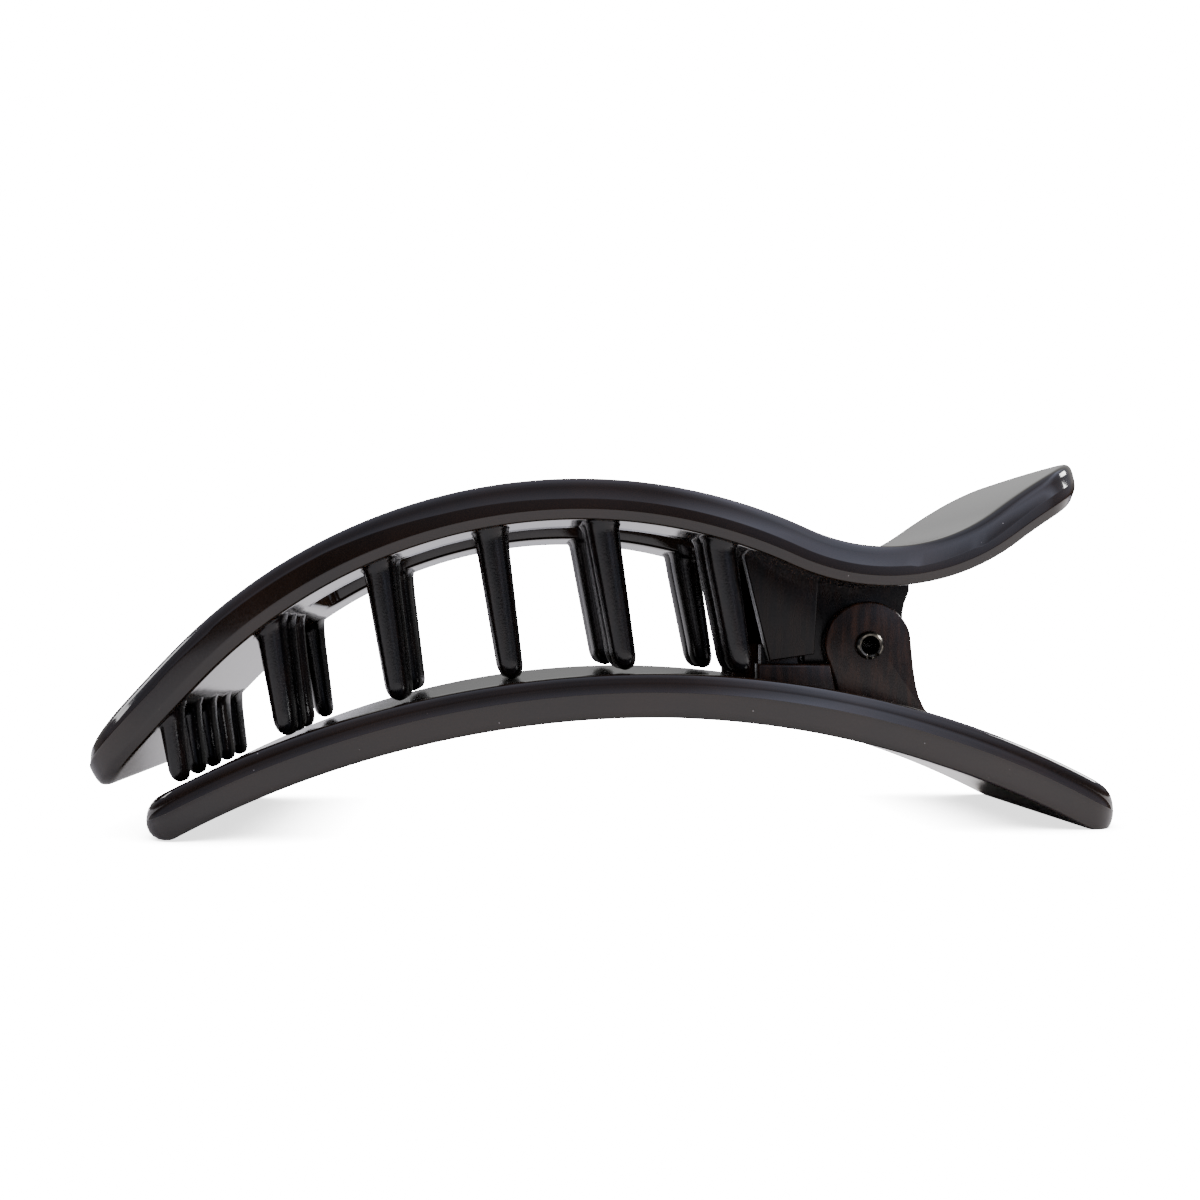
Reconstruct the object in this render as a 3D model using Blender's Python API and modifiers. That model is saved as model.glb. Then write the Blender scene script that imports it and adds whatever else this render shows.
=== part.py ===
"""Flat hair clip: two long curved plastic jaws, hinged on a tube rivet and sprung shut.

The clip lies along X with its tip at -X and its thumb tab at +X. It is 41 mm wide
across Y and stands on the two ends of its lower jaw at Z = 0.
"""

import math

import bmesh
import bpy
import numpy as np
from mathutils import Matrix, Vector

MM = 0.001

# Plan outline, seen from above and shared by both jaws
HALF_WIDTH = 20.5 * MM
WIDEST_X = -10.0 * MM
TAB_NARROWING = 3.2 * MM
NARROWING_SPAN = 60.0 * MM

# Jaw section
JAW_THICKNESS = 4.45 * MM
EDGE_ROUND = 0.9 * MM

# Upper jaw, a wave: tip, arch over the hair, saddle over the hinge, raised tab
UPPER_TIP_X = -58.3 * MM
UPPER_TAB_X = 53.9 * MM
TIP_LEAN = 0.58
TAB_LEAN = 0.4
UPPER_CORNER = 5.0 * MM
TAB_BULGE = 2.0 * MM
MIDLINE_START = (-61.6 * MM, 1.2 * MM)
MIDLINE_HEADING = 52.1
MIDLINE_ARCS = (
    # stretch, length in mm, turn in degrees
    ("tip", 23.4, -6.2),
    ("arch", 71.5, -69.4),
    ("saddle", 25.4, 59.5),
    ("tab", 25.0, -20.5),
)

# Window through the upper jaw, between two rims
WINDOW_HALF_WIDTH = 8.3 * MM
WINDOW_START_X = -36.2 * MM
WINDOW_END_X = 14.6 * MM

# Lower jaw, one plain arch
LOWER_CENTRE_X = 3.5 * MM
LOWER_HALF_LENGTH = 54.8 * MM
LOWER_RADIUS = 113.3 * MM
LOWER_CROWN_Z = 17.95 * MM
LOWER_CORNER = 4.0 * MM

# Teeth, moulded with the upper jaw and leaning towards the tab as they go down
TOOTH_CLEARANCE = 0.45 * MM
TOOTH_SIDES = 10
TOOTH_DEPTH_AT_ROOT = 4.2 * MM
TOOTH_DEPTH_AT_TIP = 3.4 * MM
TOOTH_TIP_ROUND = 0.36
RIM_PLACES = (-15.8, -10.5, 10.5, 15.8)
TOOTH_ROWS = (
    # root x, tip x, width at root, width at tip, places across the clip, all in mm
    (-48.6, -47.5, 2.5, 2.0, (-16.0, -8.0, 0.0, 8.0, 16.0)),
    (-38.2, -36.3, 3.1, 2.3, (-15.2, -9.0, -2.2, 15.8)),
    (-26.5, -24.2, 3.3, 2.4, (-15.4, -10.3, 10.3, 15.4)),
    (-14.3, -11.9, 3.5, 2.6, RIM_PLACES),
    (-2.0, 0.7, 3.5, 2.6, RIM_PLACES),
    (11.1, 13.7, 3.6, 2.7, RIM_PLACES),
)

# Hinge: ears of the lower jaw outside, ears of the upper jaw inside, rivet through all four
PIN_X = 29.5 * MM
PIN_Z = 21.0 * MM
RUNNING_GAP = 0.3 * MM
PLATE_THICKNESS = 1.9 * MM
OUTER_FACE = 12.2 * MM
INNER_FACE = OUTER_FACE - PLATE_THICKNESS - RUNNING_GAP
OUTER_EAR_RADIUS = 5.1 * MM
INNER_EAR_RADIUS = 4.4 * MM
RIVET_RADIUS = 1.15 * MM
RIVET_BORE = 0.8 * MM
RIVET_FLARE_RADIUS = 1.75 * MM
RIVET_FLARE_THICKNESS = 0.45 * MM
ROUND_SIDES = 20

# Corners of the upright plates beside the hinge, x and z in mm
EAR_HEEL = ((34.8, 18.6), (35.3, 15.4), (36.3, 13.4), (38.0, 12.0))
EAR_NECK = ((34.2, 24.0), (34.3, 25.6), (35.0, 27.4))
STOP_PLATE = ((14.9, 30.9), (17.8, 19.15), (23.05, 19.95), (23.5, 28.9))
INNER_EAR_LEFT = 22.3 * MM
INNER_EAR_DEPTH = 2.1 * MM
STOP_BLOCK_X = 16.4 * MM
STOP_BLOCK_TOP = 18.85 * MM
GUIDE_WALL_X = 17.3 * MM
GUIDE_WALL_LENGTH = 4.4 * MM
GUIDE_WALL_TOP = 21.0 * MM

# Torsion spring on the rivet, with one leg under the tab and one on the lower jaw
SPRING_WIRE = 1.1 * MM
SPRING_COIL_RADIUS = 3.1 * MM
SPRING_TURNS = 3
SPRING_PITCH = 1.6 * MM
SPRING_REACH = 36.8 * MM
SPRING_POINTS_PER_TURN = 10

BLACK_PLASTIC = (0.012, 0.010, 0.011, 1.0)
DARK_BRASS = (0.30, 0.24, 0.15, 1.0)
SPRING_STEEL = (0.45, 0.45, 0.46, 1.0)


def clear_scene():
    """Remove the objects of whatever file the script is run in."""
    for old in list(bpy.data.objects):
        bpy.data.objects.remove(old, do_unlink=True)


def new_collection(name):
    made = bpy.data.collections.new(name)
    bpy.context.scene.collection.children.link(made)
    return made


def plain_material(name, color, metallic, roughness):
    made = bpy.data.materials.new(name)
    made.use_nodes = True
    shader = made.node_tree.nodes["Principled BSDF"]
    shader.inputs["Base Color"].default_value = color
    shader.inputs["Metallic"].default_value = metallic
    shader.inputs["Roughness"].default_value = roughness
    return made


def object_from(bm, name, home, material=None):
    """Turn a bmesh into an object in the collection given."""
    bmesh.ops.recalc_face_normals(bm, faces=bm.faces)
    mesh = bpy.data.meshes.new(name)
    bm.to_mesh(mesh)
    bm.free()
    made = bpy.data.objects.new(name, mesh)
    home.objects.link(made)
    if material:
        mesh.materials.append(material)
    return made


def as_cutter(piece):
    piece.hide_render = True
    piece.display_type = "WIRE"
    return piece


def boolean(piece, other, operation):
    """Join or cut with the exact solver."""
    step = piece.modifiers.new(operation.title() + " " + other.name, "BOOLEAN")
    step.operation = operation
    step.solver = "EXACT"
    step.object = other


def half_width(x):
    """Half of the clip's width at a place along its length."""
    return HALF_WIDTH - TAB_NARROWING * ((x - WIDEST_X) / NARROWING_SPAN) ** 2


def midline():
    """Points (x, z, heading) down the middle of the upper jaw's thickness."""
    x, z = MIDLINE_START
    heading = math.radians(MIDLINE_HEADING)
    points = [(x, z, heading)]
    for _, length, turn in MIDLINE_ARCS:
        steps = round(length)
        half_turn = math.radians(turn) / steps / 2
        for _ in range(steps):
            x += length * MM / steps * math.cos(heading + half_turn)
            z += length * MM / steps * math.sin(heading + half_turn)
            heading += 2 * half_turn
            points.append((x, z, heading))
    return np.array(points)


MIDLINE = midline()


def upper_heading(x):
    return float(np.interp(x, MIDLINE[:, 0], MIDLINE[:, 2]))


def upper_height(x, side):
    """Height of the upper jaw's surface: side 1 is the top, -1 the underside, 0 the middle."""
    reach = side * JAW_THICKNESS / 2
    xs = MIDLINE[:, 0] - reach * np.sin(MIDLINE[:, 2])
    zs = MIDLINE[:, 1] + reach * np.cos(MIDLINE[:, 2])
    return float(np.interp(x, xs, zs))


def lower_height(x, side):
    """Height of the lower jaw's surface: side 1 is the top, -1 the underside, 0 the middle."""
    radius = LOWER_RADIUS - JAW_THICKNESS * (1 - side) / 2
    centre_z = LOWER_CROWN_Z - LOWER_RADIUS
    return centre_z + math.sqrt(radius ** 2 - (x - LOWER_CENTRE_X) ** 2)


def columns(start, end, corner, count, extra=()):
    """Places along X: close together round the plan corners, even between them."""
    near_end = [corner * (1 - math.cos(math.radians(a))) for a in (0, 42, 66, 90)]
    even = np.linspace(start + corner, end - corner, count)[1:-1]
    spacing = (end - start) / count
    middle = [x for x in even if all(abs(x - e) > spacing / 2 for e in extra)]
    return sorted([start + d for d in near_end] + middle + list(extra) + [end - d for d in near_end])


def outline_half(x, start, end, corner):
    """Half-width at x with the plan corners rounded off."""
    inset = corner - min(x - start, end - x)
    if inset <= 0:
        return half_width(x)
    return half_width(x) - corner + math.sqrt(max(0.0, corner ** 2 - inset ** 2))


def jaw_sheet(xs, ys_at, height):
    """A sheet of quads: one column of points for each x, at the y values of ys_at(x)."""
    rows = len(ys_at(xs[0])) - 1
    bm = bmesh.new()
    bmesh.ops.create_grid(bm, x_segments=len(xs) - 1, y_segments=rows, size=0.5)
    for vert in bm.verts:
        x = xs[round((vert.co.x + 0.5) * (len(xs) - 1))]
        y = ys_at(x)[round((vert.co.y + 0.5) * rows)]
        vert.co = Vector((x, y, height(x)))
    return bm


def thicken(bm, drop):
    """Extrude the sheet into a plate and round the long edges of its side walls."""
    top = set(bm.verts)
    bmesh.ops.extrude_face_region(bm, geom=list(bm.faces))
    bottom = set(bm.verts) - top
    for vert in bottom:
        vert.co = drop(vert.co)
    walls = {f for f in bm.faces if top.intersection(f.verts) and bottom.intersection(f.verts)}
    edges = [e for e in bm.edges if sum(f in walls for f in e.link_faces) == 1]
    bmesh.ops.bevel(
        bm,
        geom=edges,
        offset=EDGE_ROUND,
        segments=2,
        profile=0.5,
        affect="EDGES",
        clamp_overlap=True,
        material=-1,
    )


def plate_pair(name, outline, outer_face, home):
    """Two equal upright plates, one on each side of the clip, cut to an outline in XZ."""
    curve = bpy.data.curves.new(name, "CURVE")
    curve.dimensions = "2D"
    curve.fill_mode = "BOTH"
    curve.extrude = PLATE_THICKNESS / 2
    spline = curve.splines.new("POLY")
    spline.points.add(len(outline) - 1)
    for point, (x, z) in zip(spline.points, outline):
        point.co = (x, z, 0, 1)
    spline.use_cyclic_u = True
    drawn = bpy.data.objects.new(name + "_outline", curve)
    home.objects.link(drawn)
    bpy.context.view_layer.update()
    evaluated = drawn.evaluated_get(bpy.context.evaluated_depsgraph_get())
    mesh = bpy.data.meshes.new_from_object(evaluated)
    bpy.data.objects.remove(drawn, do_unlink=True)
    reach = outer_face - PLATE_THICKNESS / 2
    bm = bmesh.new()
    for side in (-reach, reach):
        known = set(bm.verts)
        bm.from_mesh(mesh)
        fresh = [v for v in bm.verts if v not in known]
        bmesh.ops.rotate(bm, verts=fresh, matrix=Matrix.Rotation(math.pi / 2, 3, "X"))
        bmesh.ops.translate(bm, verts=fresh, vec=(0, side, 0))
    bpy.data.meshes.remove(mesh)
    bmesh.ops.remove_doubles(bm, verts=bm.verts, dist=0.001 * MM)
    return as_cutter(object_from(bm, name, home))


def arc(radius, start_deg, end_deg, steps):
    """Points of an arc about the rivet, in the XZ plane."""
    angles = np.radians(np.linspace(start_deg, end_deg, steps + 1))
    return [(PIN_X + radius * math.cos(a), PIN_Z + radius * math.sin(a)) for a in angles]


def in_metres(corners):
    return [(x * MM, z * MM) for x, z in corners]


def add_tooth(bm, row, across):
    """One tapered tooth with a rounded tip, from inside the jaw to just over the lower one."""
    root_x, tip_x, root_width, tip_width, _ = row
    root_z = upper_height(root_x * MM, 0)
    tip_z = lower_height(tip_x * MM, 1) + TOOTH_CLEARANCE
    made = bmesh.ops.create_cone(
        bm,
        cap_ends=True,
        segments=TOOTH_SIDES,
        radius1=0.5,
        radius2=0.5,
        depth=1.0,
    )
    tip_ring = [v for v in made["verts"] if v.co.z < 0]
    for vert in made["verts"]:
        at_tip = vert in tip_ring
        vert.co.x *= (tip_width if at_tip else root_width) * MM
        vert.co.x += (tip_x if at_tip else root_x) * MM
        vert.co.y *= TOOTH_DEPTH_AT_TIP if at_tip else TOOTH_DEPTH_AT_ROOT
        vert.co.y += across * MM
        vert.co.z = tip_z if at_tip else root_z
    tip_edges = {e for v in tip_ring for e in v.link_edges if e.other_vert(v) in tip_ring}
    bmesh.ops.bevel(
        bm,
        geom=list(tip_edges),
        offset=TOOTH_TIP_ROUND * tip_width * MM,
        segments=2,
        profile=0.5,
        affect="EDGES",
        clamp_overlap=True,
        material=-1,
    )


def make_teeth(home):
    bm = bmesh.new()
    for row in TOOTH_ROWS:
        for across in row[4]:
            add_tooth(bm, row, across)
    return as_cutter(object_from(bm, "teeth", home))


def make_bore(home):
    """Cutter for the hole that the rivet passes through."""
    bm = bmesh.new()
    bmesh.ops.create_cone(
        bm,
        cap_ends=True,
        segments=ROUND_SIDES,
        radius1=RIVET_RADIUS + RUNNING_GAP,
        radius2=RIVET_RADIUS + RUNNING_GAP,
        depth=3 * OUTER_FACE,
    )
    bmesh.ops.rotate(bm, verts=bm.verts, matrix=Matrix.Rotation(math.pi / 2, 3, "X"))
    bmesh.ops.translate(bm, verts=bm.verts, vec=(PIN_X, 0, PIN_Z))
    return as_cutter(object_from(bm, "rivet_bore", home))


def upper_plate(home, material):
    """The wave-shaped plate of the upper jaw with its window."""
    window = (WINDOW_START_X, WINDOW_END_X)
    xs = columns(UPPER_TIP_X, UPPER_TAB_X, UPPER_CORNER, 40, window)

    def ys_at(x):
        outer = outline_half(x, UPPER_TIP_X, UPPER_TAB_X, UPPER_CORNER)
        rim = WINDOW_HALF_WIDTH
        return (-outer, -rim, -rim / 2, 0, rim / 2, rim, outer)

    bm = jaw_sheet(xs, ys_at, lambda x: upper_height(x, 1))
    opening = []
    for face in bm.faces:
        middle = face.calc_center_median()
        if abs(middle.y) < WINDOW_HALF_WIDTH and window[0] < middle.x < window[1]:
            opening.append(face)
    bmesh.ops.delete(bm, geom=opening, context="FACES")
    for vert in bm.verts:
        nearness = max(0.0, 1 - (UPPER_TAB_X - vert.co.x) / (2 * UPPER_CORNER))
        vert.co.x -= TAB_BULGE * nearness * (vert.co.y / HALF_WIDTH) ** 2
        vert.co.z = upper_height(vert.co.x, 1)

    def drop(point):
        lean = TIP_LEAN if point.x < WIDEST_X else TAB_LEAN
        x = point.x + lean * JAW_THICKNESS * math.sin(upper_heading(point.x))
        return Vector((x, point.y, upper_height(x, -1)))

    thicken(bm, drop)
    return object_from(bm, "upper_jaw", home, material)


def make_upper_jaw(home, tools, material, teeth, bore):
    """Upper jaw with its teeth, its two stop plates and its two hinge ears, all one moulding."""
    jaw = upper_plate(home, material)
    left, right = STOP_PLATE[0][0] * MM, STOP_PLATE[-1][0] * MM
    stop = in_metres(STOP_PLATE) + [(right, upper_height(right, 0)), (left, upper_height(left, 0))]
    neck_x = EAR_NECK[-1][0] * MM
    lowest = 180 + math.degrees(math.asin(INNER_EAR_DEPTH / INNER_EAR_RADIUS))
    ear = arc(INNER_EAR_RADIUS, lowest, 385, 10) + in_metres(EAR_NECK)
    ear += [(neck_x, upper_height(neck_x, 0)), (INNER_EAR_LEFT, upper_height(INNER_EAR_LEFT, 0))]
    ear += [(INNER_EAR_LEFT, PIN_Z - INNER_EAR_DEPTH)]
    boolean(jaw, teeth, "UNION")
    boolean(jaw, plate_pair("stop_plates", stop, OUTER_FACE, tools), "UNION")
    boolean(jaw, plate_pair("inner_ears", ear, INNER_FACE, tools), "UNION")
    boolean(jaw, bore, "DIFFERENCE")
    return jaw


def make_lower_jaw(home, tools, material, bore):
    """Lower jaw, a plain arch with its two hinge ears, stop blocks and guide walls."""
    start = LOWER_CENTRE_X - LOWER_HALF_LENGTH
    end = LOWER_CENTRE_X + LOWER_HALF_LENGTH
    xs = columns(start, end, LOWER_CORNER, 32)

    def ys_at(x):
        outer = outline_half(x, start, end, LOWER_CORNER)
        return (-outer, -outer / 2, 0, outer / 2, outer)

    bm = jaw_sheet(xs, ys_at, lambda x: lower_height(x, 1))
    thicken(bm, lambda point: Vector((point.x, point.y, max(0.0, lower_height(point.x, -1)))))
    jaw = object_from(bm, "lower_jaw", home, material)
    heel_x = EAR_HEEL[-1][0] * MM
    ear = [(STOP_BLOCK_X, STOP_BLOCK_TOP)] + arc(OUTER_EAR_RADIUS, 206, 15, 14)
    ear += in_metres(EAR_HEEL) + [(heel_x, lower_height(heel_x, 0)), (PIN_X, lower_height(PIN_X, 0))]
    ear += [(STOP_BLOCK_X, lower_height(STOP_BLOCK_X, 0))]
    wall_end = GUIDE_WALL_X + GUIDE_WALL_LENGTH
    wall = [(GUIDE_WALL_X, GUIDE_WALL_TOP), (wall_end, GUIDE_WALL_TOP)]
    wall += [(wall_end, lower_height(wall_end, 0)), (GUIDE_WALL_X, lower_height(GUIDE_WALL_X, 0))]
    boolean(jaw, plate_pair("outer_ears", ear, OUTER_FACE, tools), "UNION")
    boolean(jaw, plate_pair("guide_walls", wall, INNER_FACE, tools), "UNION")
    boolean(jaw, bore, "DIFFERENCE")
    return jaw


def make_rivet(home, material):
    """Hollow tube rivet with both ends flared over the outer ears."""
    shoulder = OUTER_FACE + RUNNING_GAP
    end = shoulder + RIVET_FLARE_THICKNESS
    profile = [
        (RIVET_BORE, end),
        (RIVET_FLARE_RADIUS, end),
        (RIVET_FLARE_RADIUS, shoulder),
        (RIVET_RADIUS, shoulder),
        (RIVET_RADIUS, -shoulder),
        (RIVET_FLARE_RADIUS, -shoulder),
        (RIVET_FLARE_RADIUS, -end),
        (RIVET_BORE, -end),
    ]
    bm = bmesh.new()
    verts = [bm.verts.new((r, 0, z)) for r, z in profile]
    for first, second in zip(verts, verts[1:] + verts[:1]):
        bm.edges.new((first, second))
    rivet = object_from(bm, "rivet", home, material)
    rivet.location = (PIN_X, 0, PIN_Z)
    rivet.rotation_euler = (math.pi / 2, 0, 0)
    turn = rivet.modifiers.new("Turn", "SCREW")
    turn.axis = "Z"
    turn.steps = ROUND_SIDES
    turn.render_steps = ROUND_SIDES
    turn.use_merge_vertices = True
    turn.merge_threshold = 0.01 * MM
    return rivet


def tangent_angle(x, z, side):
    """Angle on the coil where a straight leg to (x, z) leaves it, above (1) or below (-1)."""
    dx, dz = x - PIN_X, z - PIN_Z
    return math.atan2(dz, dx) + side * math.acos(SPRING_COIL_RADIUS / math.hypot(dx, dz))


def make_spring(home, material):
    """Torsion spring: a coil round the rivet whose two legs press tab and lower jaw apart."""
    seat = SPRING_WIRE / 2 + RUNNING_GAP
    low = (SPRING_REACH, lower_height(SPRING_REACH, 1) + seat / math.cos(math.radians(19)))
    high = (SPRING_REACH, upper_height(SPRING_REACH, -1) - seat / math.cos(upper_heading(SPRING_REACH)))
    first = tangent_angle(*low, -1)
    last = tangent_angle(*high, 1) - 2 * math.pi * (SPRING_TURNS + 1)
    steps = round((first - last) / (2 * math.pi) * SPRING_POINTS_PER_TURN)
    half_height = SPRING_PITCH * (first - last) / (4 * math.pi)
    points = [(low[0], -half_height, low[1])]
    for k in range(steps + 1):
        angle = first + (last - first) * k / steps
        across = half_height * (2 * k / steps - 1)
        x = PIN_X + SPRING_COIL_RADIUS * math.cos(angle)
        points.append((x, across, PIN_Z + SPRING_COIL_RADIUS * math.sin(angle)))
    points.append((high[0], half_height, high[1]))
    curve = bpy.data.curves.new("spring", "CURVE")
    curve.dimensions = "3D"
    curve.bevel_depth = SPRING_WIRE / 2
    curve.bevel_resolution = 2
    curve.use_fill_caps = True
    spline = curve.splines.new("POLY")
    spline.points.add(len(points) - 1)
    for point, place in zip(spline.points, points):
        point.co = (*place, 1)
    curve.materials.append(material)
    spring = bpy.data.objects.new("spring", curve)
    home.objects.link(spring)
    return spring


def make_hinge(home):
    """Empty on the rivet's axis that the upper jaw turns with."""
    hinge = bpy.data.objects.new("hinge", None)
    hinge.location = (PIN_X, 0, PIN_Z)
    home.objects.link(hinge)
    bpy.context.view_layer.update()
    return hinge


def main():
    clear_scene()
    clip = new_collection("flat_hair_clip")
    tools = new_collection("cutters")
    plastic = plain_material("glossy black plastic", BLACK_PLASTIC, 0.0, 0.12)
    brass = plain_material("darkened brass rivet", DARK_BRASS, 1.0, 0.3)
    steel = plain_material("spring steel", SPRING_STEEL, 1.0, 0.3)
    bore = make_bore(tools)
    teeth = make_teeth(tools)
    hinge = make_hinge(clip)
    upper_jaw = make_upper_jaw(clip, tools, plastic, teeth, bore)
    make_lower_jaw(clip, tools, plastic, bore)
    make_rivet(clip, brass)
    make_spring(clip, steel)
    upper_jaw.parent = hinge
    upper_jaw.matrix_parent_inverse = hinge.matrix_world.inverted()


main()
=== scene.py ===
# %% [markdown]
# # Flat hair clip in black plastic
# The clip is two long curved plates of glossy black plastic. The upper one is a wave with a
# window and six rows of teeth, the lower one is a plain arch, and a tube rivet and a torsion
# spring hold them together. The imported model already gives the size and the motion, so this
# lesson makes the fine surface: moulded edges, parting lines, teeth, hinge plates, gloss and light.

# %% Load the frame
import math

import bmesh
import bpy
import numpy as np
from mathutils import Matrix, Vector


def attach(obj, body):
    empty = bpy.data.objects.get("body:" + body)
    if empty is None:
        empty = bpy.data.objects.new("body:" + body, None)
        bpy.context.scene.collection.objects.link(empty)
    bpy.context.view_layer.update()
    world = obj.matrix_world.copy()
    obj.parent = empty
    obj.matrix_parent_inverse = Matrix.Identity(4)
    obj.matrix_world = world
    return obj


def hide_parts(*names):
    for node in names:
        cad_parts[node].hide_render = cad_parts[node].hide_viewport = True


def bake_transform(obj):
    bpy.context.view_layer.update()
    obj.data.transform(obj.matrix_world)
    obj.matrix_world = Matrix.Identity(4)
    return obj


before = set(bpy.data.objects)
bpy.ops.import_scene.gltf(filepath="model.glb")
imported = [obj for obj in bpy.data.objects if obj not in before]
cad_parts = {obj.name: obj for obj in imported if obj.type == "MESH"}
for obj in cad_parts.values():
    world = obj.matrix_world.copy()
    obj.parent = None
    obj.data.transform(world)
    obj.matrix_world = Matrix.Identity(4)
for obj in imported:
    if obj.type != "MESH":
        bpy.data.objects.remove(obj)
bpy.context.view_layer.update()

MM = 0.001

# %% [markdown]
# ## Camera
# The photograph looks at the clip's side from about 16 cm, slightly to the left of its middle
# and just above the hair space, so the nearer side is clearly larger than the far one. A short
# distance with a normal lens gives that, and a small vertical shift keeps the uprights upright.
# The picture is also turned by a sixth of a degree.

# %% Place the camera
camera = bpy.data.objects.new("photo_camera", bpy.data.cameras.new("photo_camera"))
camera.location = (-13.75 * MM, -157.6 * MM, 22.1 * MM)
camera.rotation_euler = (math.radians(90), math.radians(-0.17), math.radians(-4.69))
camera.data.lens = 38.4
camera.data.sensor_width = 36.0
camera.data.shift_y = 35 / 1200
camera.data.clip_start = 0.005
bpy.context.scene.collection.objects.link(camera)
bpy.context.scene.camera = camera
print("camera at", [round(v * 1000, 1) for v in camera.location], "mm")

# %% [markdown]
# ## The plates' shape
# Both jaws share one outline seen from above. Seen from the side, the lower jaw is an arc and
# the upper jaw is a chain of arcs: tip, arch, saddle and tab. The same named sizes as in the
# solid model describe them here, so that each fine piece lies where its solid lies.

# %% Sizes of the jaws, in metres
THICKNESS = 4.45 * MM
HALF_WIDTH, WIDEST_X = 20.5 * MM, -10.0 * MM
NARROWING, NARROWING_SPAN = 3.2 * MM, 60.0 * MM
TIP_X, TAB_X = -58.3 * MM, 53.9 * MM
TIP_LEAN, TAB_LEAN = 0.58, 0.4
LOWER_START, LOWER_END = -51.3 * MM, 58.3 * MM
LOWER_CENTRE, LOWER_RADIUS, LOWER_CROWN = 3.5 * MM, 113.3 * MM, 17.95 * MM
WINDOW = (-36.2 * MM, 14.6 * MM)
WINDOW_HALF = 8.3 * MM
MIDLINE_START, MIDLINE_HEADING = (-61.6 * MM, 1.2 * MM), 52.1
MIDLINE_ARCS = (
    # stretch, length in mm, turn in degrees
    ("tip", 23.4, -6.2),
    ("arch", 71.5, -69.4),
    ("saddle", 25.4, 59.5),
    ("tab", 25.0, -20.5),
)


def half_width(x):
    """Half of the clip's width at a place along its length."""
    return HALF_WIDTH - NARROWING * ((x - WIDEST_X) / NARROWING_SPAN) ** 2


def midline():
    """Points (x, z, heading) down the middle of the upper jaw's thickness."""
    (x, z), heading = MIDLINE_START, math.radians(MIDLINE_HEADING)
    points = [(x, z, heading)]
    for _, length, turn in MIDLINE_ARCS:
        steps = round(4 * length)
        for _ in range(steps):
            heading += math.radians(turn) / steps / 2
            x += length * MM / steps * math.cos(heading)
            z += length * MM / steps * math.sin(heading)
            heading += math.radians(turn) / steps / 2
            points.append((x, z, heading))
    return np.array(points)


MIDLINE = midline()


def upper_heading(x):
    return float(np.interp(x, MIDLINE[:, 0], MIDLINE[:, 2]))


def upper_height(x, side):
    """Height of the upper jaw's top (side 1), middle (0) or underside (-1)."""
    xs = MIDLINE[:, 0] - side * THICKNESS / 2 * np.sin(MIDLINE[:, 2])
    zs = MIDLINE[:, 1] + side * THICKNESS / 2 * np.cos(MIDLINE[:, 2])
    return float(np.interp(x, xs, zs))


def lower_height(x, side):
    """Height of the lower jaw's top (side 1), middle (0) or underside (-1)."""
    radius = LOWER_RADIUS - THICKNESS * (1 - side) / 2
    return LOWER_CROWN - LOWER_RADIUS + math.sqrt(radius ** 2 - (x - LOWER_CENTRE) ** 2)


print("arch top %.1f mm, saddle top %.1f mm" % tuple(upper_height(x * MM, 1) / MM for x in (-5, 29.5)))

# %% [markdown]
# ## Flat first, then bent
# A moulded plate has soft rims: a small round along the top, a side wall that leans a little
# so that the part leaves its mould, a thin ledge at the mould's parting line, and a chamfer
# below. It is easiest to build such a rim on a flat plate. A grid makes the top, its open
# edges are extruded ring by ring down the rim's profile, a copy of the grid closes the bottom,
# and last of all each point is bent to the jaw's curve.

# %% Helpers for flat plates
def finish_piece(bm, name, material, body, *nodes):
    """Turn a bmesh into a smooth piece at the origin that rides on a body, if one is given."""
    bmesh.ops.recalc_face_normals(bm, faces=bm.faces)
    mesh = bpy.data.meshes.new(name)
    bm.to_mesh(mesh)
    bm.free()
    mesh.shade_smooth()
    mesh.set_sharp_from_angle(angle=math.radians(40))
    mesh.materials.append(material)
    piece = bpy.data.objects.new(name, mesh)
    bpy.context.scene.collection.objects.link(piece)
    if body:
        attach(piece, body)
    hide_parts(*nodes)
    print(name, "faces:", len(mesh.polygons))
    return piece


def ease(corner, steps):
    """Distances from a corner's start that are close together at first, as along an arc."""
    return [corner * (1 - math.cos(math.pi / 2 * k / steps)) for k in range(steps + 1)]


def spread(start, end, corners, pitch):
    """Places along X, dense inside each corner (place, radius, direction) and even between."""
    places = set()
    for place, radius, direction in corners:
        places.update(round(place + direction * d, 7) for d in ease(radius, 7))
    marks = sorted(places)
    for low, high in zip(marks, marks[1:]):
        gaps = max(1, round((high - low) / pitch))
        places.update(round(low + (high - low) * k / gaps, 7) for k in range(1, gaps))
    return sorted(p for p in places if start - 1e-7 <= p <= end + 1e-7)


def corner_inset(distance, radius):
    """How far a rounded corner draws the side in, at a distance from the end."""
    if distance >= radius:
        return 0.0
    return radius - math.sqrt(max(0.0, radius ** 2 - (radius - distance) ** 2))


def flat_sheet(xs, ys_at):
    """A flat grid whose columns stand at xs and whose points there stand at ys_at(x)."""
    columns = [ys_at(x) for x in xs]
    rows = len(columns[0]) - 1
    bm = bmesh.new()
    bmesh.ops.create_grid(bm, x_segments=len(xs) - 1, y_segments=rows, size=0.5)
    for vert in bm.verts:
        column = round((vert.co.x + 0.5) * (len(xs) - 1))
        row = round((vert.co.y + 0.5) * rows)
        vert.co = Vector((xs[column], columns[column][row], 0))
    return bm


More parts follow.
